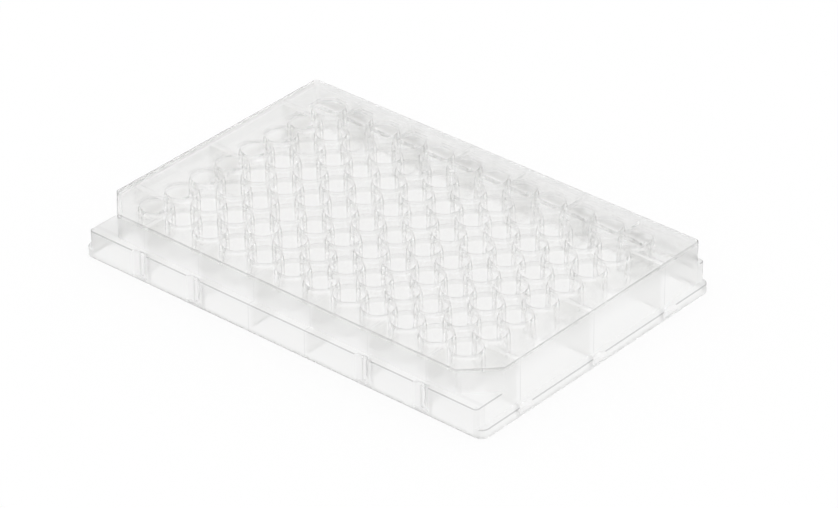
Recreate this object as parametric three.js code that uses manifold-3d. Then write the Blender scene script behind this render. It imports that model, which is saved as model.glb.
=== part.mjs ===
// A 96-well plate, moulded in one piece from translucent polypropylene, open underneath.
// Millimetres, +Z up, +X along the twelve columns, +Y towards row A.
// The origin is the middle of the footprint, on the bench.
import * as THREE from "three";
import { mergeVertices } from "three/addons/utils/BufferGeometryUtils.js";
import Module from "manifold-3d";

// The well pattern
const COLUMNS = 12;
const ROWS = 8;
const WELL_PITCH = 9;
const END_MARGIN = 14.38; // centre of an end column to the end of the footprint
const SIDE_MARGIN = 11.24; // centre of an outer row to the side of the footprint

// The wells
const WELL_WALL = 0.6; // half the wall that two neighbours share
const WELL_DEPTH = 10.3;
const WELL_FLOOR = 0.6;
const WELL_DRAFT = 0.15; // how much narrower a well is where its round bottom starts
const BOTTOM_HEIGHT = 3; // of the round bottom
const BOTTOM_TURN = 2.4; // radius at which the round bottom steepens
const BOTTOM_RISE = 0.8; // height of the bottom at that radius
const MOUTH_SIDES = 10;
const OUTSIDE_SIDES = 8; // flats face the four neighbours

// The deck and the skirt
const PLATE_HEIGHT = 14.35;
const DECK_THICKNESS = 1.2;
const WALL = 1.1;
const END_STEP = 1.9; // short flange, out from the wall above it
const END_FLANGE_HEIGHT = 2.41;
const SIDE_STEP = 2.15; // tall flange, out from the wall above it
const SIDE_FLANGE_HEIGHT = 7.62;
const CORNER_CUT = 8; // legs of the two cut corners beside row H
const DECK_RADIUS = 1.1;
const SKIRT_RADIUS = 1.2;
const FOOT_RADIUS = 2.4;
const ARC_STEPS = 2;

// The ribs under the deck and the grooves in front of them
const RIB_THICKNESS = 1;
const RIB_CLEARANCE = 1; // height of a rib's lower edge
const RIB_GRIP = 1; // how far a rib runs in between its two wells
const SIDE_RIBS = [-5, -3, -1, 1, 3, 5]; // in pitches from the middle
const END_RIBS = [-3, 0, 3];
const SIDE_GROOVES = [-5, -3, 3, 5];
const GROOVE_WIDTH = 4.8;
const GROOVE_DEPTH = 1.1;
const GROOVE_FOOT = 0.8; // height at which a groove begins
const GROOVE_SIDES = 12;

const footLength = (COLUMNS - 1) * WELL_PITCH + 2 * END_MARGIN;
const footWidth = (ROWS - 1) * WELL_PITCH + 2 * SIDE_MARGIN;
const deckLength = footLength - 2 * END_STEP;
const deckWidth = footWidth - 2 * SIDE_STEP;
const underDeck = PLATE_HEIGHT - DECK_THICKNESS;
const wellOutside = WELL_PITCH / 2;
const wellMouth = wellOutside - WELL_WALL;

const wasm = await Module();
wasm.setup();

// A closed three.js geometry as a manifold-3d solid.
function solid(geometry) {
  geometry.deleteAttribute("normal");
  geometry.deleteAttribute("uv");
  const merged = mergeVertices(geometry, 1e-4);
  return new wasm.Manifold(
    new wasm.Mesh({
      numProp: 3,
      vertProperties: merged.attributes.position.array,
      triVerts: new Uint32Array(merged.index.array),
    }),
  );
}

// A rectangle about the origin. Its row A corners are round, and so are the other two unless they are cut.
function outline(length, width, radius, cut = 0) {
  const x = length / 2;
  const y = width / 2;
  const shape = new THREE.Shape();
  if (cut > 0) {
    shape.moveTo(-x, -y + cut);
    shape.lineTo(-x + cut, -y);
    shape.lineTo(x - cut, -y);
    shape.lineTo(x, -y + cut);
  } else {
    shape.moveTo(-x, -y + radius);
    shape.absarc(-x + radius, -y + radius, radius, Math.PI, 1.5 * Math.PI);
    shape.absarc(x - radius, -y + radius, radius, -0.5 * Math.PI, 0);
  }
  shape.absarc(x - radius, y - radius, radius, 0, 0.5 * Math.PI);
  shape.absarc(-x + radius, y - radius, radius, 0.5 * Math.PI, Math.PI);
  shape.closePath();
  return shape;
}

function prism(shape, low, high) {
  const geometry = new THREE.ExtrudeGeometry(shape, {
    depth: high - low,
    bevelEnabled: false,
    curveSegments: ARC_STEPS,
  });
  geometry.translate(0, 0, low);
  return solid(geometry);
}

function box(x0, x1, y0, y1, low, high) {
  const geometry = new THREE.BoxGeometry(x1 - x0, y1 - y0, high - low);
  geometry.translate((x0 + x1) / 2, (y0 + y1) / 2, (low + high) / 2);
  return solid(geometry);
}

// One turned solid per well: the profile runs from the axis at the bottom to the axis at the top.
function turned(profile, sides, x, y) {
  const points = profile.map(([radius, z]) => new THREE.Vector2(radius, z));
  const geometry = new THREE.LatheGeometry(points, sides, Math.PI / sides);
  geometry.rotateX(Math.PI / 2);
  geometry.translate(x, y, 0);
  return solid(geometry);
}

// Deck, walls and the two heights of flange, as a shell of even thickness.
function makeSkirt() {
  const inset = 2 * WALL;
  const innerCut = CORNER_CUT - (2 - Math.SQRT2) * WALL;
  const deck = outline(deckLength, deckWidth, DECK_RADIUS, CORNER_CUT);
  const skirt = outline(deckLength, footWidth, SKIRT_RADIUS);
  const foot = outline(footLength, footWidth, FOOT_RADIUS);
  const underDeckRoom = outline(deckLength - inset, deckWidth - inset, DECK_RADIUS / 2, innerCut);
  const skirtRoom = outline(deckLength - inset, footWidth - inset, SKIRT_RADIUS / 2);
  const footRoom = outline(footLength - inset, footWidth - inset, FOOT_RADIUS - WALL);
  return prism(deck, 0, PLATE_HEIGHT)
    .add(prism(skirt, 0, SIDE_FLANGE_HEIGHT))
    .add(prism(foot, 0, END_FLANGE_HEIGHT))
    .subtract(prism(underDeckRoom, -1, underDeck))
    .subtract(prism(skirtRoom, -1, SIDE_FLANGE_HEIGHT - WALL))
    .subtract(prism(footRoom, -1, END_FLANGE_HEIGHT - WALL));
}

// Each rib joins a wall to the two wells behind it, at the height of the deck and again inside the flange.
function addRibs(plate) {
  const half = RIB_THICKNESS / 2;
  const wellsY = ((ROWS - 1) * WELL_PITCH) / 2 + RIB_GRIP;
  const wellsX = ((COLUMNS - 1) * WELL_PITCH) / 2 + RIB_GRIP;
  const wallY = (deckWidth - WALL) / 2;
  const flangeY = (footWidth - WALL) / 2;
  const wallX = (deckLength - WALL) / 2;
  const flangeTop = SIDE_FLANGE_HEIGHT - WALL / 2;
  const deckMiddle = underDeck + DECK_THICKNESS / 2;
  for (const step of SIDE_RIBS) {
    const x = step * WELL_PITCH;
    for (const side of [-1, 1]) {
      const from = side * wellsY;
      const reach = [side * wallY, side * flangeY];
      const tops = [deckMiddle, flangeTop];
      reach.forEach((to, i) => {
        const near = Math.min(from, to);
        const far = Math.max(from, to);
        plate = plate.add(box(x - half, x + half, near, far, RIB_CLEARANCE, tops[i]));
      });
    }
  }
  for (const step of END_RIBS) {
    const y = step * WELL_PITCH;
    for (const side of [-1, 1]) {
      const near = Math.min(side * wellsX, side * wallX);
      const far = Math.max(side * wellsX, side * wallX);
      plate = plate.add(box(near, far, y - half, y + half, RIB_CLEARANCE, deckMiddle));
    }
  }
  return plate;
}

// A round groove down the face of a flange. The wall swells inwards behind it and keeps its thickness.
function addGrooves(plate) {
  const radius = (GROOVE_WIDTH ** 2 / 4 + GROOVE_DEPTH ** 2) / (2 * GROOVE_DEPTH);
  const offset = radius - GROOVE_DEPTH;
  const swollen = radius + WALL;
  const column = (r, x, y, low, high) => {
    const geometry = new THREE.CylinderGeometry(r, r, high - low, GROOVE_SIDES);
    geometry.rotateX(Math.PI / 2);
    geometry.translate(x, y, (low + high) / 2);
    return solid(geometry);
  };
  for (const side of [-1, 1]) {
    for (const step of SIDE_GROOVES) {
      const x = step * WELL_PITCH;
      const axis = side * (footWidth / 2 + offset);
      const face = side * (footWidth / 2 - WALL / 2);
      const behind = side * (footWidth / 2 - swollen);
      const top = SIDE_FLANGE_HEIGHT - WALL / 2;
      const near = Math.min(face, behind);
      const far = Math.max(face, behind);
      const inside = box(x - swollen, x + swollen, near, far, 0, top);
      plate = plate
        .add(column(swollen, x, axis, 0, top).intersect(inside))
        .subtract(column(radius, x, axis, GROOVE_FOOT, SIDE_FLANGE_HEIGHT + WALL));
    }
    for (const step of END_RIBS) {
      const y = step * WELL_PITCH;
      const axis = side * (footLength / 2 + offset);
      const face = side * (footLength / 2 - WALL / 2);
      const behind = side * (footLength / 2 - swollen);
      const top = END_FLANGE_HEIGHT - WALL / 2;
      const near = Math.min(face, behind);
      const far = Math.max(face, behind);
      const inside = box(near, far, y - swollen, y + swollen, 0, top);
      plate = plate
        .add(column(swollen, axis, y, 0, top).intersect(inside))
        .subtract(column(radius, axis, y, GROOVE_FOOT, END_FLANGE_HEIGHT + WALL));
    }
  }
  return plate;
}

// 96 round-bottomed wells hang from the deck, each with a little draft.
function addWells(plate) {
  const inside = PLATE_HEIGHT - WELL_DEPTH;
  const outside = inside - WELL_FLOOR;
  const shoulder = inside + BOTTOM_HEIGHT;
  const toCorner = 1 / Math.cos(Math.PI / OUTSIDE_SIDES);
  const shell = [
    [0, outside],
    [(BOTTOM_TURN + WELL_WALL) * toCorner, outside + BOTTOM_RISE],
    [wellOutside * toCorner, shoulder],
    [wellOutside * toCorner, underDeck + DECK_THICKNESS / 2],
    [0, underDeck + DECK_THICKNESS / 2],
  ];
  const hollow = [
    [0, inside],
    [BOTTOM_TURN, inside + BOTTOM_RISE],
    [wellMouth - WELL_DRAFT, shoulder],
    [wellMouth, PLATE_HEIGHT],
    [wellMouth, PLATE_HEIGHT + 1],
    [0, PLATE_HEIGHT + 1],
  ];
  const centres = [];
  for (let column = 0; column < COLUMNS; column++) {
    for (let row = 0; row < ROWS; row++) {
      const x = (column - (COLUMNS - 1) / 2) * WELL_PITCH;
      const y = (row - (ROWS - 1) / 2) * WELL_PITCH;
      centres.push([x, y]);
    }
  }
  for (const [x, y] of centres) {
    plate = plate.add(turned(shell, OUTSIDE_SIDES, x, y));
  }
  for (const [x, y] of centres) {
    plate = plate.subtract(turned(hollow, MOUTH_SIDES, x, y));
  }
  return plate;
}

function meshOf(name, made, material) {
  const { vertProperties, triVerts } = made.getMesh();
  const geometry = new THREE.BufferGeometry();
  geometry.setAttribute("position", new THREE.BufferAttribute(vertProperties, 3));
  geometry.setIndex(new THREE.BufferAttribute(triVerts, 1));
  geometry.computeVertexNormals();
  const mesh = new THREE.Mesh(geometry, material);
  mesh.name = name;
  return mesh;
}

const polypropylene = new THREE.MeshStandardMaterial({
  color: 0xe9eaea,
  roughness: 0.35,
  metalness: 0,
  transparent: true,
  opacity: 0.7,
});

const group = new THREE.Group();
group.add(meshOf("well_plate", addWells(addGrooves(addRibs(makeSkirt()))), polypropylene));

export default group;
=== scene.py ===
"""Dresses the well plate: skirt, deck, ribs and wells in one translucent moulding, on its stage."""

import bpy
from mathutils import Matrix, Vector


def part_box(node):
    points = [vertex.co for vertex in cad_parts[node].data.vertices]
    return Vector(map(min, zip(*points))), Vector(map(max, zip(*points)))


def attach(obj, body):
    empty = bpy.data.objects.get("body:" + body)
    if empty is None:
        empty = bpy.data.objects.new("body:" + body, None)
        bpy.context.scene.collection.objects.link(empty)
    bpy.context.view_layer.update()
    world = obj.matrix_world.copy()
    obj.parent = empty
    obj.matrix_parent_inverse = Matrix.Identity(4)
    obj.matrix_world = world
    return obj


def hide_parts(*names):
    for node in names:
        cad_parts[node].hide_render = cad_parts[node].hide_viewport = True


bl_info = {
    "name": "Well plate",
    "version": (1, 0, 0),
    "blender": (4, 5, 0),
    "location": "3D View > Sidebar > Well plate",
    "description": "A 96-well plate in translucent polypropylene, with a studio stage",
    "category": "Add Mesh",
}

import math

import bmesh
import bpy
from mathutils import Matrix, Vector

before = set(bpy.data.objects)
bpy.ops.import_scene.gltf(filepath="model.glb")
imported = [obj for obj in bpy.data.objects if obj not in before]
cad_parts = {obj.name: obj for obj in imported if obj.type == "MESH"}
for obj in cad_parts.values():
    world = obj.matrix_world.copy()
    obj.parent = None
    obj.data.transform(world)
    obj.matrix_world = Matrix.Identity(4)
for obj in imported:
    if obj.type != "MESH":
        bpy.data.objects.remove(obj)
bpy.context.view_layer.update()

NODE = "well_plate"
MM = 0.001
PLATE_LOW, PLATE_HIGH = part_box(NODE)
FOOT = (PLATE_HIGH.x - PLATE_LOW.x, PLATE_HIGH.y - PLATE_LOW.y)

# Making of the shapes
SMALLEST_BEND = 0.02 * MM  # corner radius kept where an outline is drawn in by more than it has
BLOCK_BEND = 0.03 * MM  # corner radius of a plain block seen from above
INNER_EDGE = 0.6  # rounding inside the shell, as a share of the rounding outside
OVERSHOOT = 1 * MM  # how far a cutter passes the face it opens
GROOVE_SIDES = 96  # segments round the full circle of a groove
BOTTOM_STEPS = 6  # segments from the middle of a well's bottom to its side
LIP_MIDDLE = 0.3  # how far in the middle of a lip's rounding lies, as a share of its radius
SHARP_ANGLE = math.radians(32)
GRID_GROUP = "Pattern"

# Places of the finishes and of the painted shade
OUTER_FADE = (0.06 * MM, 0.02 * MM)  # before a wall's inner face, where the outer finish ends
LEDGE_REACH = 0.4 * MM  # how far outside the wall above it a ledge's edge line begins
LINE_FADE = 0.25 * MM  # width over which a line or a band fades out
WELL_MARGIN = 0.4 * MM  # how far outside its wall a well's finish ends

# Clouding and grain
CLOUD_SCALE, CLOUD_DETAIL = 160.0, 3.0
GRAIN_SCALE, GRAIN_DETAIL = 2600.0, 2.0
CLOUD_TONES = (0.99, 1.01)
POLISH_CLOUD, FROST_CLOUD = 0.04, 0.08  # how much the clouding changes the roughness
GRAIN_HEIGHT = 0.02 * MM

# Stage
SENSOR_WIDTH = 36.0  # in millimetres
CLIP_RANGE = (0.01, 20.0)
FLOOR_REACH = 3.0  # in metres, from the middle to a side
FLOOR_GAP = 0.05 * MM
WHITE = (1.0, 1.0, 1.0, 1.0)


def length(name, description, default):
    """A size in metres, given here in millimetres."""
    return bpy.props.FloatProperty(
        name=name,
        description=description,
        default=default * MM,
        min=0.0,
        precision=5,
        subtype="DISTANCE",
        unit="LENGTH",
    )


def amount(name, description, default, high=1.0):
    """A plain number from 0."""
    return bpy.props.FloatProperty(
        name=name, description=description, default=default, min=0.0, max=high
    )


def count(name, description, default, low=1, high=100):
    """A whole number."""
    return bpy.props.IntProperty(
        name=name, description=description, default=default, min=low, max=high
    )


def degrees(name, description, default):
    """An angle, given here in degrees."""
    return bpy.props.FloatProperty(
        name=name, description=description, default=math.radians(default), subtype="ANGLE"
    )


def colour(name, description, default):
    """A colour of three parts."""
    return bpy.props.FloatVectorProperty(
        name=name,
        description=description,
        default=default,
        size=3,
        min=0.0,
        max=1.0,
        subtype="COLOR",
    )


class PlateSettings(bpy.types.PropertyGroup):
    """Sizes of the deck, the walls and the flanges."""

    end_step: length(
        "End step", "How far the short flanges stand out from the walls above them", 1.9
    )
    side_step: length(
        "Side step", "How far the tall flanges stand out from the walls above them", 2.15
    )
    end_flange: length("End flange height", "Height of the flanges on the short sides", 2.41)
    side_flange: length("Side flange height", "Height of the flanges on the long sides", 7.62)
    wall: length("Wall", "Thickness of the walls and flanges", 1.1)
    deck: length("Deck thickness", "Thickness of the deck between the wells", 1.2)
    corner_cut: length("Corner cut", "Leg of each of the two cut corners", 8.0)
    deck_radius: length("Deck corner radius", "Radius of the deck's corners from above", 1.1)
    skirt_radius: length("Skirt corner radius", "Radius of the skirt's corners from above", 1.2)
    foot_radius: length("Foot corner radius", "Radius of the foot's corners from above", 2.4)
    edge: length("Edge radius", "Rounding along the top edges of deck and flanges", 0.25)
    arc_steps: count("Corner steps", "Segments round each corner", 8, 2, 32)
    edge_steps: count("Edge steps", "Segments across each rounded edge", 4, 1, 12)


class SupportSettings(bpy.types.PropertyGroup):
    """Sizes of the ribs under the deck and of the grooves in the flanges."""

    rib: length("Rib thickness", "Thickness of a rib", 0.8)
    clearance: length("Rib clearance", "Height of a rib's lower edge", 1.0)
    grip: length("Rib grip", "How far a rib runs in between its two wells", 1.0)
    side_ribs: count("Side ribs", "Ribs along each long side", 6)
    end_ribs: count("End ribs", "Ribs along each short side, and grooves in front of them", 3)
    side_spacing: length("Side rib spacing", "Distance between ribs along the long sides", 18.0)
    end_spacing: length("End rib spacing", "Distance between ribs along the short sides", 27.0)
    groove_width: length("Groove width", "Width of a groove in a flange", 4.8)
    groove_depth: length("Groove depth", "Depth of a groove in a flange", 1.1)
    groove_foot: length("Groove foot", "Height at which a groove begins", 0.8)


class WellSettings(bpy.types.PropertyGroup):
    """The well pattern and the form of one well."""

    columns: count("Columns", "Wells along X", 12)
    rows: count("Rows", "Wells along Y", 8)
    pitch: length("Pitch", "Distance between the centres of neighbouring wells", 9.0)
    mouth: length("Mouth radius", "Inner radius of a well at the deck", 3.87)
    outside: length("Outer radius", "Outer radius of a well under the deck", 4.56)
    draft: length("Draft", "How much narrower a well is where its round bottom starts", 0.15)
    depth: length("Depth", "Depth of a well", 10.3)
    floor: length("Floor", "Thickness of a well's bottom", 0.6)
    bottom: length("Bottom height", "Height of the round bottom", 3.0)
    lip: length("Lip radius", "Rounding of a well's mouth", 0.06)
    sides: count("Sides", "Segments round each well", 36, 8, 64)


class PlasticSettings(bpy.types.PropertyGroup):
    """The look of the polypropylene."""

    tint: colour("Tint", "Colour of the plastic", (0.935, 0.935, 0.93))
    frost_clear: amount("Frosted clearness", "Share of light that passes the frosted faces", 0.99)
    frost_refraction: amount(
        "Frosted refraction", "Index of refraction of the frosted faces", 1.13, 2.0
    )
    frost_sheer: amount(
        "Frosted sheerness", "Share of the frosted faces that light passes straight through", 0.15
    )
    polish: amount("Polish", "Roughness of the wells", 0.12)
    clear: amount("Clearness", "Share of the light that passes the wells' faces", 0.99)
    refraction: amount("Refraction", "Index of refraction of the wells", 1.05, 2.0)
    sheer: amount(
        "Sheerness", "Share of the wells' faces that light passes straight through", 0.5
    )
    # Painted shade: a darker line along the edges of the deck, the flanges and the foot.
    edge_line: length("Edge line", "Width of the dense line along an edge", 0.32)
    # Share of the painted edge shade that the deck's edges and the foot's bottom edge get.
    faint_edge: amount(
        "Faint edges", "Share of the edge line that the deck's and the lowest edges get", 0.65
    )
    wall_frost: amount("Wall frost", "Roughness of the walls' outer faces", 0.36)
    deck_frost: amount("Deck frost", "Roughness of the deck", 0.2)
    inner_frost: amount(
        "Inner frost", "Roughness of the walls' inner faces and of the ribs", 0.15
    )
    # Painted shade: a dark line on the walls' outer faces in front of each rib.
    rib_line: length("Rib line", "Width of the line on the face in front of a rib", 0.5)
    rib_depth: amount("Rib depth", "Strength of the line in front of a rib", 0.33)
    # Painted shade on the walls' outer faces, darkest right below the deck, reaching down to the
    # foot on the long walls.
    wall_shade: amount(
        "Wall shade", "How much denser the walls are, most of all right below the deck", 0.2
    )
    # Painted shade: a darker band down each groove in the flanges.
    groove_shade: amount("Groove shade", "How much denser the plastic is down a groove", 0.21)
    # Painted shade: a dark ring round each well's mouth on the deck.
    rim_line: length("Rim line", "Width of the line around a rim", 0.25)
    rim_depth: amount("Rim depth", "Strength of the line around a rim", 0.6)
    coat: amount("Coat", "Gloss of the surface", 0.3)
    # Tone of the painted shade.
    edge_tone: amount("Edge tone", "Brightness of a dense line beside the rest", 0.4)
    grain: amount("Grain", "Strength of the fine moulded grain", 0.06)


class StageSettings(bpy.types.PropertyGroup):
    """Camera, floor and light."""

    azimuth: degrees("Azimuth", "Turn of the camera about Z", 41.11)
    elevation: degrees("Elevation", "Height of the camera above the horizon", 31.5)
    roll: degrees("Roll", "Roll of the camera", -0.58)
    distance: length("Distance", "Camera to target", 1038.2)
    lens: amount("Lens", "Focal length on a 36 mm sensor, in mm", 183.04, 1000.0)
    shift_right: length("Right of middle", "Camera's aim to the right of the plate's middle", 5.83)
    shift_up: length("Above middle", "Camera's aim above the plate's underside", 4.35)
    floor_white: amount("Floor", "Brightness of the floor", 1.0)
    shadow: amount("Shadow", "Share of the plate's shadow that the floor keeps", 0.1)
    room: amount("Room light", "Strength of the soft light all round", 1.0, 4.0)


def deck_size(plate):
    """Length and width of the deck."""
    return FOOT[0] - 2 * plate.end_step, FOOT[1] - 2 * plate.side_step


def corners(along, across, cut=0.0):
    """A rectangle's corners about the origin, counter-clockwise; the two at -Y may be cut."""
    x, y = along / 2, across / 2
    near = [(-x, -y), (x, -y)]
    if cut > 0:
        near = [(-x, -y + cut), (-x + cut, -y), (x - cut, -y), (x, -y + cut)]
    return [Vector(p) for p in near + [(x, y), (-x, y)]]


def rounded(points, radius, drawn_in, steps):
    """The closed outline with its corners rounded, drawn in on every side."""
    loop = []
    for i, point in enumerate(points):
        before = (point - points[i - 1]).normalized()
        after = (points[(i + 1) % len(points)] - point).normalized()
        inward = [Vector((-d.y, d.x)) for d in (before, after)]
        bisector = (inward[0] + inward[1]) / (1 + inward[0].dot(inward[1]))
        bend = max(radius - drawn_in, SMALLEST_BEND)
        centre = point + bisector * (drawn_in + bend)
        start = math.atan2(-inward[0].y, -inward[0].x)
        turn = -before.angle_signed(after)
        for k in range(steps + 1):
            angle = start + turn * k / steps
            loop.append(centre + Vector((math.cos(angle), math.sin(angle))) * bend)
    return loop


def edge_levels(low, high, edge, steps):
    """Levels (height, how far drawn in) of a solid whose top edge is a quarter round."""
    levels = [(low, 0.0)]
    for k in range(steps + 1):
        angle = 0.5 * math.pi * k / steps
        levels.append((high - edge + edge * math.sin(angle), edge * (1 - math.cos(angle))))
    return levels


def prism(name, points, radius, levels, steps):
    """A solid that follows an outline through its levels."""
    shape = bmesh.new()
    loops = [
        [shape.verts.new((p.x, p.y, z)) for p in rounded(points, radius, drawn_in, steps)]
        for z, drawn_in in levels
    ]
    for lower, upper in zip(loops, loops[1:]):
        for i in range(len(lower)):
            j = (i + 1) % len(lower)
            shape.faces.new((lower[i], lower[j], upper[j], upper[i]))
    shape.faces.new(reversed(loops[0]))
    shape.faces.new(loops[-1])
    return finished(name, shape)


def turned(name, profile, sides):
    """A solid of revolution about Z; the profile starts on the axis, below, and ends on it."""
    shape = bmesh.new()
    angles = [2 * math.pi * k / sides for k in range(sides)]
    rings = [
        [shape.verts.new((radius * math.cos(a), radius * math.sin(a), z)) for a in angles]
        for radius, z in profile[1:-1]
    ]
    bottom = shape.verts.new((0, 0, profile[0][1]))
    top = shape.verts.new((0, 0, profile[-1][1]))
    for i in range(sides):
        j = (i + 1) % sides
        shape.faces.new((bottom, rings[0][j], rings[0][i]))
        for lower, upper in zip(rings, rings[1:]):
            shape.faces.new((lower[i], lower[j], upper[j], upper[i]))
        shape.faces.new((rings[-1][i], rings[-1][j], top))
    return finished(name, shape)


def block(name, along, across, low, high):
    """A plain block about the Z axis, its upright edges just broken."""
    return prism(name, corners(along, across), BLOCK_BEND, [(low, 0.0), (high, 0.0)], 1)


def linked(name, mesh):
    """A new object in the scene."""
    made = bpy.data.objects.new(name, mesh)
    bpy.context.scene.collection.objects.link(made)
    return made


def finished(name, shape):
    """Turns the bmesh into an object, its faces outwards."""
    bmesh.ops.recalc_face_normals(shape, faces=shape.faces)
    mesh = bpy.data.meshes.new(name)
    shape.to_mesh(mesh)
    shape.free()
    return linked(name, mesh)


def settled(obj):
    """Applies obj's modifiers and leaves a plain mesh."""
    bpy.context.view_layer.update()
    graph = bpy.context.evaluated_depsgraph_get()
    mesh = bpy.data.meshes.new_from_object(obj.evaluated_get(graph))
    old = obj.data
    obj.modifiers.clear()
    obj.data = mesh
    if old.users == 0:
        bpy.data.meshes.remove(old)
    return obj


def discard(*objects):
    """Removes objects with their meshes."""
    for obj in objects:
        mesh = obj.data
        bpy.data.objects.remove(obj)
        if mesh.users == 0:
            bpy.data.meshes.remove(mesh)


def combined(base, operation, *tools):
    """Unites base with each tool, cuts it out or keeps what both share, and removes the tools."""
    for tool in tools:
        step = base.modifiers.new(tool.name, "BOOLEAN")
        step.operation = operation
        step.solver = "MANIFOLD"
        step.object = tool
        settled(base)
        discard(tool)
    return base


class Wire:
    """An output socket that can be used in sums."""

    def __init__(self, tree, socket):
        self.tree = tree
        self.socket = socket

    def maths(self, operation, *operands):
        return node(self.tree, "ShaderNodeMath", dict(enumerate(operands)), operation=operation)

    def __add__(self, other):
        return self.maths("ADD", self, other)

    def __sub__(self, other):
        return self.maths("SUBTRACT", self, other)

    def __mul__(self, other):
        return self.maths("MULTIPLY", self, other)

    def __truediv__(self, other):
        return self.maths("DIVIDE", self, other)

    def __rsub__(self, other):
        return self.maths("SUBTRACT", other, self)

    def __rtruediv__(self, other):
        return self.maths("DIVIDE", other, self)

    __radd__ = __add__
    __rmul__ = __mul__

    def wrapped(self):
        """Distance from the middle of its unit cell, from -0.5 to 0.5."""
        return self.maths("FRACT", self) - 0.5

    def below(self, limit):
        return self.maths("LESS_THAN", self, limit)

    def size(self):
        return self.maths("ABSOLUTE", self)

    def root(self):
        return self.maths("SQRT", self)

    def least(self, other):
        return self.maths("MINIMUM", self, other)

    def most(self, other):
        return self.maths("MAXIMUM", self, other)

    def ramp(self, low, high, at_low=0.0, at_high=1.0):
        """Eases from at_low, up to where the value is low, to at_high, from where it is high."""
        inputs = dict(enumerate((self, low, high, at_low, at_high)))
        return node(
            self.tree,
            "ShaderNodeMapRange",
            inputs,
            out="Result",
            interpolation_type="SMOOTHSTEP",
        )

    def fade(self, low, high):
        """1 up to low, easing to 0 from high on."""
        return self.ramp(low, high, 1.0, 0.0)


def join(tree, slot, value):
    """Links or sets one input."""
    if isinstance(value, Wire):
        tree.links.new(value.socket, slot)
    else:
        slot.default_value = value


def node(tree, kind, inputs=None, out=0, **settings):
    """Adds a node and returns an output as a Wire, or a list of them where out is a tuple."""
    made = tree.nodes.new(kind)
    for name, value in settings.items():
        setattr(made, name, value)
    for name, value in (inputs or {}).items():
        for item in value if isinstance(value, list) else [value]:
            join(tree, made.inputs[name], item)
    if isinstance(out, tuple):
        return [Wire(tree, made.outputs[name]) for name in out]
    return Wire(tree, made.outputs[out])


def node_group(name, inputs):
    """A geometry node group with named inputs, and its inputs as Wires."""
    tree = bpy.data.node_groups.new(name, "GeometryNodeTree")
    tree.interface.new_socket("Geometry", in_out="OUTPUT", socket_type="NodeSocketGeometry")
    for label, kind, default in inputs:
        socket = tree.interface.new_socket(
            label, in_out="INPUT", socket_type="NodeSocket" + kind
        )
        if default is not None:
            socket.default_value = default
    labels = tuple(label for label, _, _ in inputs)
    return tree, dict(zip(labels, node(tree, "NodeGroupInput", out=labels)))


def close_group(tree, geometry, material):
    """Ends a group: instances are made real and get their material."""
    real = node(tree, "GeometryNodeRealizeInstances", {"Geometry": geometry})
    dressed = node(tree, "GeometryNodeSetMaterial", {"Geometry": real, "Material": material})
    node(tree, "NodeGroupOutput", {"Geometry": dressed}, out=())
    return tree


def copies_on_grid(tree, pieces, columns, rows, column_pitch, row_pitch):
    """Instances of each piece on a grid about the origin, columns along X and rows along Y."""
    sizes = {
        "Size X": (columns - 1) * column_pitch,
        "Size Y": (rows - 1) * row_pitch,
        "Vertices X": columns,
        "Vertices Y": rows,
    }
    grid = node(tree, "GeometryNodeMeshGrid", sizes)
    points = node(tree, "GeometryNodeMeshToPoints", {"Mesh": grid})
    copies = []
    for piece in pieces:
        shape = node(tree, "GeometryNodeObjectInfo", {"Object": piece}, out="Geometry")
        placed = {"Points": points, "Instance": shape}
        copies.append(node(tree, "GeometryNodeInstanceOnPoints", placed))
    return copies


def pattern_group():
    """Repeats a piece on a grid of columns and rows."""
    tree, given = node_group(
        GRID_GROUP,
        [
            ("Geometry", "Geometry", None),
            ("Piece", "Object", None),
            ("Columns", "Int", 1),
            ("Rows", "Int", 1),
            ("Column pitch", "Float", 0.01),
            ("Row pitch", "Float", 0.01),
            ("Material", "Material", None),
        ],
    )
    (copies,) = copies_on_grid(
        tree,
        [given["Piece"]],
        given["Columns"],
        given["Rows"],
        given["Column pitch"],
        given["Row pitch"],
    )
    return close_group(tree, copies, given["Material"])


def wells_group():
    """Hangs the wells on the plate and hollows them."""
    tree, given = node_group(
        "Wells",
        [
            ("Geometry", "Geometry", None),
            ("Shell", "Object", None),
            ("Hollow", "Object", None),
            ("Columns", "Int", 12),
            ("Rows", "Int", 8),
            ("Pitch", "Float", 0.009),
            ("Material", "Material", None),
        ],
    )
    shells, hollows = copies_on_grid(
        tree,
        [given["Shell"], given["Hollow"]],
        given["Columns"],
        given["Rows"],
        given["Pitch"],
        given["Pitch"],
    )
    united = node(
        tree,
        "GeometryNodeMeshBoolean",
        {"Mesh 2": [given["Geometry"], shells]},
        operation="UNION",
        solver="MANIFOLD",
    )
    hollowed = node(
        tree,
        "GeometryNodeMeshBoolean",
        {"Mesh 1": united, "Mesh 2": [hollows]},
        operation="DIFFERENCE",
        solver="MANIFOLD",
    )
    return close_group(tree, hollowed, given["Material"])


def with_nodes(obj, tree, values):
    """Runs a node group on obj, its inputs set by name, and applies it."""
    step = obj.modifiers.new(tree.name, "NODES")
    step.node_group = tree
    for item in tree.interface.items_tree:
        if item.in_out == "INPUT" and item.name in values:
            step[item.identifier] = values[item.name]
    return settled(obj)


def repeated(piece, name, columns, rows, column_pitch, row_pitch):
    """Copies of a piece on a grid, as one object."""
    tree = bpy.data.node_groups.get(GRID_GROUP) or pattern_group()
    values = {
        "Piece": piece,
        "Columns": columns,
        "Rows": rows,
        "Column pitch": column_pitch,
        "Row pitch": row_pitch,
    }
    copies = with_nodes(linked(name, bpy.data.meshes.new(name)), tree, values)
    discard(piece)
    return copies


def inset(x, y, half_x, half_y, radius):
    """How far a point lies inside a rectangle with round corners."""
    past_x = x.size() - (half_x - radius)
    past_y = y.size() - (half_y - radius)
    round_x, round_y = past_x.most(0.0), past_y.most(0.0)
    around = (round_x * round_x + round_y * round_y).root()
    return radius - around - past_x.most(past_y).least(0.0)


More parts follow.
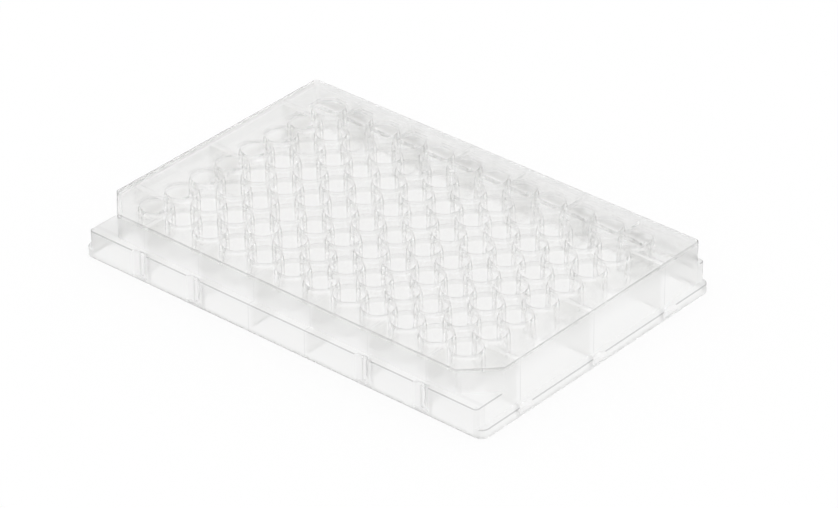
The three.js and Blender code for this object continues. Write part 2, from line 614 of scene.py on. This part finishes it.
def body_places(x, y, z, line, faint):
    """Whether a point is under an outer face, on the deck or on an edge, each from 0 to 1; the edge
    mask draws painted shade.
    """
    plate = bpy.context.scene.well_plate_body
    foot_x, foot_y, high = PLATE_HIGH
    deck_x, deck_y = foot_x - plate.end_step, foot_y - plate.side_step
    corner = (deck_x + deck_y - plate.corner_cut + y - x.size()) * math.sqrt(0.5)
    insets = (
        inset(x, y, deck_x, deck_y, plate.deck_radius).least(corner),
        inset(x, y, deck_x, foot_y, plate.skirt_radius),
        inset(x, y, foot_x, foot_y, plate.foot_radius),
    )
    falls = [top - z for top in (high, plate.side_flange, plate.end_flange)]

    def drawn(distance):
        """A line where the distance is nothing."""
        return distance.fade(line / 2, line)

    depth = insets[0].least(falls[0])
    # Painted shade: a dark line along the deck's top edge, the flanges' top edges and the foot's
    # bottom edge.
    edge = drawn(insets[0] + falls[0].size()) * faint
    for above, inside, fall in zip(insets, insets[1:], falls[1:]):
        depth = depth.most(inside.least(fall))
        outside = above.fade(-2 * LEDGE_REACH, -LEDGE_REACH)
        edge = edge.most(drawn(inside + fall.size()) * outside)
    edge = edge.most(drawn(insets[1].size() + z) * faint)
    outer = depth.fade(plate.wall - OUTER_FADE[0], plate.wall - OUTER_FADE[1])
    on_deck = z.ramp(high - plate.deck, high - plate.deck / 2)
    return outer, on_deck, edge


def behind(x, y, z, outer, line):
    """Painted shade masks: lines in front of the ribs, bands down the grooves, and nearness to the
    deck on the walls.
    """
    scene = bpy.context.scene
    plate, supports = scene.well_plate_body, scene.well_plate_supports
    wells = scene.well_plate_wells

    def past(value, limit):
        return value.ramp(limit, limit + LINE_FADE)

    along = (x / supports.side_spacing).wrapped().size() * supports.side_spacing
    across = (y / supports.end_spacing + 0.5).wrapped().size() * supports.end_spacing
    far_x, far_y = x.size(), y.size()
    above = past(z, plate.side_flange)
    grooved = past(far_x, supports.side_spacing)

    # Painted shade in front of the ribs on the long and the short walls.
    side = along.fade(line / 4, line / 2) * past(far_y, wells.rows * wells.pitch / 2)
    side = side * above.most(1.0 - grooved)
    end = across.fade(line / 4, line / 2) * past(far_x, wells.columns * wells.pitch / 2)
    end = end * past(z, plate.end_flange)

    # Painted shade: a darker band down each groove.
    half = supports.groove_width / 2
    band = along.fade(half - 2 * LINE_FADE, half - LINE_FADE) * grooved * (1.0 - above)
    band = band * past(far_y, PLATE_HIGH.y - supports.groove_depth - LINE_FADE)

    # Painted shade on the walls, darkest right below the deck.
    wall_y = PLATE_HIGH.y - plate.side_step
    ledge = past(far_y, wall_y) * past(z, plate.side_flange - 2 * LINE_FADE)
    long_side = past(far_y, wall_y - plate.wall) * (1.0 - ledge)
    near = z.ramp(-plate.side_flange, PLATE_HIGH.z) * long_side
    near = near.most(z.ramp(plate.side_flange, PLATE_HIGH.z))
    near = near * z.fade(PLATE_HIGH.z - LINE_FADE, PLATE_HIGH.z)
    return side.most(end) * outer, band, near * outer


def finish_places(tree, place, settings):
    """Whether a point is in the wells, outside, on the deck or under painted shade, from 0 to 1."""
    wells = bpy.context.scene.well_plate_wells
    pitch = wells.pitch
    x, y, z = node(tree, "ShaderNodeSeparateXYZ", {"Vector": place}, out=("X", "Y", "Z"))
    across_x, across_y = ((along / pitch).wrapped() * pitch for along in (x, y))
    radius = (across_x * across_x + across_y * across_y).root()
    in_grid = x.size().below(wells.columns * pitch / 2 + WELL_MARGIN)
    in_grid = in_grid * y.size().below(wells.rows * pitch / 2 + WELL_MARGIN)
    in_well = radius.fade(wells.outside + WELL_MARGIN / 2, wells.outside + WELL_MARGIN) * in_grid
    between = x.size().below((wells.columns - 1) * pitch / 2)
    between = between * y.size().below((wells.rows - 1) * pitch / 2)
    in_well = in_well.most(between)

    outer, on_deck, painted_shade = body_places(x, y, z, settings.edge_line, settings.faint_edge)
    lip, line = wells.mouth + wells.lip, settings.rim_line
    # Painted shade: a dark ring round each well's mouth.
    ring = radius.ramp(lip - line / 4, lip + line / 4) * radius.fade(lip + line, lip + 2 * line)
    ribs, grooves, near_deck_shade = behind(x, y, z, outer, settings.rib_line)
    # All these marks are painted shade, merged into one mask.
    for mark, strength in (
        (ring * in_grid * on_deck, settings.rim_depth),
        (ribs, settings.rib_depth),
        (grooves, settings.groove_shade),
        (near_deck_shade, settings.wall_shade),
    ):
        painted_shade = painted_shade.most(mark * strength)
    return in_well * (1.0 - painted_shade), outer, on_deck, painted_shade


def new_material(name):
    """A material and its node tree, empty."""
    material = bpy.data.materials.new(name)
    material.use_nodes = True
    material.node_tree.nodes.clear()
    return material, material.node_tree


def shade(tint, factor):
    """The tint made lighter or darker, as a full colour."""
    return (*(min(part * factor, 1.0) for part in tint), 1.0)


def mixed(tree, share, first, second):
    """Goes from the first colour to the second as share goes from 0 to 1."""
    return node(
        tree, "ShaderNodeMix", {0: share, 6: first, 7: second}, out=2, data_type="RGBA"
    )


def noise(tree, place, scale, detail):
    """Fine noise about the middle value 0.5."""
    inputs = {"Vector": place, "Scale": scale, "Detail": detail}
    return node(tree, "ShaderNodeTexNoise", inputs, out="Fac")


def plastic(settings):
    """Translucent polypropylene: frosted faces, smooth wells, fine grain, slight clouding and
    painted shade.
    """
    material, tree = new_material("polypropylene")
    place = node(tree, "ShaderNodeTexCoord", out="Object")
    in_well, outer, on_deck, painted_shade = finish_places(tree, place, settings)
    frost = settings.wall_frost + on_deck * (settings.deck_frost - settings.wall_frost)
    frost = settings.inner_frost + outer * (frost - settings.inner_frost)
    cloud = noise(tree, place, CLOUD_SCALE, CLOUD_DETAIL)
    grain = noise(tree, place, GRAIN_SCALE, GRAIN_DETAIL)
    tone = mixed(tree, cloud, *(shade(settings.tint, factor) for factor in CLOUD_TONES))
    # Painted shade: the tone darkens along edges, round the rims, in front of the ribs, down the
    # grooves and on the walls below the deck.
    tone = mixed(tree, painted_shade, tone, shade(settings.tint, settings.edge_tone))
    bump = node(
        tree,
        "ShaderNodeBump",
        {"Strength": settings.grain, "Distance": GRAIN_HEIGHT, "Height": grain},
    )
    smooth = node(
        tree,
        "ShaderNodeBsdfPrincipled",
        {
            "Base Color": tone,
            "Roughness": settings.polish + (cloud - 0.5) * POLISH_CLOUD,
            "IOR": settings.refraction,
            "Alpha": 1.0 - settings.sheer,
            "Transmission Weight": settings.clear,
            "Coat Weight": settings.coat,
        },
    )
    frosted = node(
        tree,
        "ShaderNodeBsdfPrincipled",
        {
            "Base Color": tone,
            "Roughness": frost + (cloud - 0.5) * FROST_CLOUD,
            "Normal": bump,
            "IOR": settings.frost_refraction,
            "Alpha": 1.0 - settings.frost_sheer,
            "Transmission Weight": settings.frost_clear,
            "Coat Weight": settings.coat,
            "Coat Roughness": settings.deck_frost,
        },
    )
    shader = node(tree, "ShaderNodeMixShader", {0: in_well, 1: frosted, 2: smooth})
    node(tree, "ShaderNodeOutputMaterial", {"Surface": shader}, out=())
    return material


def body_shell(plate):
    """Deck, walls and both heights of flange, as a shell with rounded edges."""
    walls = 2 * plate.wall
    deck = deck_size(plate)
    deck_room = [size - walls for size in deck]
    foot_room = [size - walls for size in FOOT]
    # drawing all sides in by the wall shortens the leg of a 45 degree cut by this much
    cut_room = plate.corner_cut - (2 - math.sqrt(2)) * plate.wall

    def solid(name, outline, radius, high):
        levels = edge_levels(0.0, high, plate.edge, plate.edge_steps)
        return prism(name, outline, radius, levels, plate.arc_steps)

    def room(name, outline, radius, high):
        levels = edge_levels(-OVERSHOOT, high, INNER_EDGE * plate.edge, plate.edge_steps)
        return prism(name, outline, radius, levels, plate.arc_steps)

    body = solid("plate", corners(*deck, plate.corner_cut), plate.deck_radius, PLATE_HIGH.z)
    combined(
        body,
        "UNION",
        solid("skirt", corners(deck[0], FOOT[1]), plate.skirt_radius, plate.side_flange),
        solid("foot", corners(*FOOT), plate.foot_radius, plate.end_flange),
    )
    return combined(
        body,
        "DIFFERENCE",
        room(
            "under_deck",
            corners(*deck_room, cut_room),
            plate.deck_radius / 2,
            PLATE_HIGH.z - plate.deck,
        ),
        room(
            "skirt_room",
            corners(deck_room[0], foot_room[1]),
            plate.skirt_radius / 2,
            plate.side_flange - plate.wall,
        ),
        room(
            "foot_room",
            corners(*foot_room),
            plate.foot_radius - plate.wall,
            plate.end_flange - plate.wall,
        ),
    )


def on_both_sides(make, turn):
    """A piece made for the +Y side and again for the -Y side, both turned about Z by turn."""
    pair = [make(), make()]
    for piece, half in zip(pair, (0.0, math.pi)):
        piece.data.transform(Matrix.Rotation(turn + half, 4, "Z"))
    return combined(pair[0], "UNION", pair[1])


def add_grooves(body, plate, supports, reach, top, turn, patterns):
    """Round grooves down a pair of flanges, with the wall bulging inwards behind them.

    Each pattern is a shift along X and a grid's columns, rows, column pitch and row pitch.
    """
    depth = supports.groove_depth
    radius = (supports.groove_width**2 / 4 + depth**2) / (2 * depth)
    centre = reach / 2 + radius - depth

    def column(name, size, low, high):
        made = turned(name, [(0, low), (size, low), (size, high), (0, high)], GROOVE_SIDES)
        made.data.transform(Matrix.Translation((0, centre, 0)))
        return made

    def bulge():
        wide = block("room", 4 * radius, 2 * depth + plate.wall, 0.0, top - plate.wall / 2)
        wide.data.transform(Matrix.Translation((0, reach / 2 - plate.wall / 2 - depth, 0)))
        return combined(column("bulge", radius + plate.wall, 0.0, top), "INTERSECT", wide)

    def groove():
        return column("groove", radius, supports.groove_foot, top + plate.wall)

    for shift, *grid in patterns:
        for make, operation in ((bulge, "UNION"), (groove, "DIFFERENCE")):
            pair = on_both_sides(make, turn)
            pair.data.transform(Matrix.Translation((shift, 0, 0)))
            combined(body, operation, repeated(pair, make.__name__ + "s", *grid))


def add_supports(body, plate, supports, wells):
    """Grooves in the flanges and ribs between the walls and the wells."""
    deck = deck_size(plate)
    deck_middle = PLATE_HIGH.z - plate.deck / 2
    side, end = supports.side_spacing, supports.end_spacing

    # a long flange has two grooves at each end, in front of its outer ribs
    side_grooves = [(shift, 2, 1, 4 * side, 0.0) for shift in (-side / 2, side / 2)]
    end_grooves = [(0.0, 1, supports.end_ribs, 0.0, end)]
    add_grooves(body, plate, supports, FOOT[1], plate.side_flange, 0.0, side_grooves)
    add_grooves(body, plate, supports, FOOT[0], plate.end_flange, math.pi / 2, end_grooves)

    inner_y = (wells.rows - 1) * wells.pitch / 2 + supports.grip
    for outer, top in (
        ((deck[1] - plate.wall) / 2, deck_middle),
        ((FOOT[1] - plate.wall) / 2, plate.side_flange - plate.wall / 2),
    ):
        rib = block("rib", supports.rib, outer - inner_y, supports.clearance, top)
        ribs = repeated(rib, "ribs", supports.side_ribs, 2, side, outer + inner_y)
        combined(body, "UNION", ribs)

    inner_x = (wells.columns - 1) * wells.pitch / 2 + supports.grip
    outer = (deck[0] - plate.wall) / 2
    rib = block("rib", outer - inner_x, supports.rib, supports.clearance, deck_middle)
    ribs = repeated(rib, "ribs", 2, supports.end_ribs, outer + inner_x, end)
    combined(body, "UNION", ribs)


def round_bottom(axis_z, radius, height):
    """Profile points from the axis up to where a round bottom meets the well's side."""
    points = [(0.0, axis_z)]
    for k in range(1, BOTTOM_STEPS + 1):
        angle = 0.5 * math.pi * k / BOTTOM_STEPS
        points.append((radius * math.sin(angle), axis_z + height * (1 - math.cos(angle))))
    return points


def add_wells(body, plate, wells, material):
    """Round-bottomed wells on a grid, united with the plate and hollowed."""
    top = PLATE_HIGH.z
    inside = top - wells.depth
    outside = inside - wells.floor
    middle = top - plate.deck / 2
    shell = turned(
        "well_shell",
        round_bottom(outside, wells.outside, wells.bottom + wells.floor)
        + [(wells.outside, middle), (0.0, middle)],
        wells.sides,
    )
    mouth, lip = wells.mouth, wells.lip
    hollow = turned(
        "well_hollow",
        round_bottom(inside, mouth - wells.draft, wells.bottom)
        + [
            (mouth, top - lip),
            (mouth + LIP_MIDDLE * lip, top - LIP_MIDDLE * lip),
            (mouth + lip, top),
            (mouth + lip, top + OVERSHOOT),
            (0.0, top + OVERSHOOT),
        ],
        wells.sides,
    )
    values = {
        "Shell": shell,
        "Hollow": hollow,
        "Columns": wells.columns,
        "Rows": wells.rows,
        "Pitch": wells.pitch,
        "Material": material,
    }
    with_nodes(body, wells_group(), values)
    discard(shell, hollow)


class WELLPLATE_OT_plate(bpy.types.Operator):
    """Build the plate with its wells and put it in place of the plain solid"""

    bl_idname = "well_plate.plate"
    bl_label = "Build the plate"

    def execute(self, context):
        scene = context.scene
        plate, wells = scene.well_plate_body, scene.well_plate_wells
        body = body_shell(plate)
        add_supports(body, plate, scene.well_plate_supports, wells)
        add_wells(body, plate, wells, plastic(scene.well_plate_plastic))
        body.data.shade_smooth()
        body.data.set_sharp_from_angle(angle=SHARP_ANGLE)
        body.name = "plate"
        if not body.data.polygons:
            raise RuntimeError("the plate came out empty")
        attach(body, "root")
        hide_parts(NODE)
        return {"FINISHED"}


def seen_rays(tree):
    """1 for rays from the camera, off gloss or through the plastic, and 0 for the rest."""
    kinds = ("Is Camera Ray", "Is Glossy Ray", "Is Transmission Ray")
    camera, glossy, through = node(tree, "ShaderNodeLightPath", out=kinds)
    return camera + glossy + through


def floor_material(stage):
    """White floor that keeps a share of the shadow."""
    material, tree = new_material("floor_white")
    lit = node(tree, "ShaderNodeBsdfDiffuse", {"Color": shade(WHITE[:3], stage.floor_white)})
    glow = node(tree, "ShaderNodeEmission", {"Color": WHITE, "Strength": 1.0})
    glowing = seen_rays(tree) * (1.0 - stage.shadow)
    shader = node(tree, "ShaderNodeMixShader", {0: glowing, 1: lit, 2: glow})
    node(tree, "ShaderNodeOutputMaterial", {"Surface": shader}, out=())
    return material


def set_camera(scene, stage):
    """Aims the camera at the plate."""
    turn, rise = stage.azimuth, stage.elevation
    level = math.cos(rise)
    back = Vector((math.sin(turn) * level, -math.cos(turn) * level, math.sin(rise)))
    right = Vector((math.cos(turn), math.sin(turn), 0.0))
    up = back.cross(right)
    tilted = Matrix.Rotation(stage.roll, 3, back)
    right, up = tilted @ right, tilted @ up
    camera = bpy.data.cameras.new("camera")
    camera.lens = stage.lens
    camera.sensor_width = SENSOR_WIDTH
    camera.clip_start, camera.clip_end = CLIP_RANGE
    eye = linked("camera", camera)
    spot = back * stage.distance + right * stage.shift_right + up * stage.shift_up
    facing = Matrix((right, up, back)).transposed().to_4x4()
    eye.matrix_world = Matrix.Translation(spot) @ facing
    scene.camera = eye


def set_floor(stage):
    """Lays the floor just under the plate."""
    shape = bmesh.new()
    bmesh.ops.create_grid(shape, x_segments=1, y_segments=1, size=FLOOR_REACH)
    floor = finished("floor", shape)
    floor.location.z = PLATE_LOW.z - FLOOR_GAP
    floor.data.materials.append(floor_material(stage))


def set_room(scene, stage):
    """Lights the plate softly from all round, against white."""
    world = bpy.data.worlds.new("studio")
    world.use_nodes = True
    scene.world = world
    tree = world.node_tree
    tree.nodes.clear()
    strength = seen_rays(tree).ramp(0.0, 1.0, stage.room, 1.0)
    light = node(tree, "ShaderNodeBackground", {"Color": WHITE, "Strength": strength})
    node(tree, "ShaderNodeOutputWorld", {"Surface": light}, out=())


class WELLPLATE_OT_stage(bpy.types.Operator):
    """Set the camera, the white floor and the soft light"""

    bl_idname = "well_plate.stage"
    bl_label = "Set the stage"

    def execute(self, context):
        scene = context.scene
        stage = scene.well_plate_stage
        set_camera(scene, stage)
        set_floor(stage)
        set_room(scene, stage)
        scene.view_settings.view_transform = "Standard"
        return {"FINISHED"}


GROUPS = {
    "well_plate_body": PlateSettings,
    "well_plate_supports": SupportSettings,
    "well_plate_wells": WellSettings,
    "well_plate_plastic": PlasticSettings,
    "well_plate_stage": StageSettings,
}
OPERATORS = (WELLPLATE_OT_plate, WELLPLATE_OT_stage)


class WELLPLATE_PT_panel(bpy.types.Panel):
    """Lists the settings and the two operators"""

    bl_label = "Well plate"
    bl_idname = "WELLPLATE_PT_panel"
    bl_space_type = "VIEW_3D"
    bl_region_type = "UI"
    bl_category = "Well plate"

    def draw(self, context):
        layout = self.layout
        for name, group in GROUPS.items():
            box = layout.box()
            box.label(text=group.__doc__)
            for field in group.__annotations__:
                box.prop(getattr(context.scene, name), field)
        for operator in OPERATORS:
            layout.operator(operator.bl_idname)


CLASSES = (*GROUPS.values(), *OPERATORS, WELLPLATE_PT_panel)


def register():
    for item in CLASSES:
        bpy.utils.register_class(item)
    for name, group in GROUPS.items():
        setattr(bpy.types.Scene, name, bpy.props.PointerProperty(type=group))


def unregister():
    for name in GROUPS:
        delattr(bpy.types.Scene, name)
    for item in reversed(CLASSES):
        bpy.utils.unregister_class(item)


def main():
    register()
    bpy.ops.well_plate.plate()
    bpy.ops.well_plate.stage()


if __name__ == "__main__":
    main()
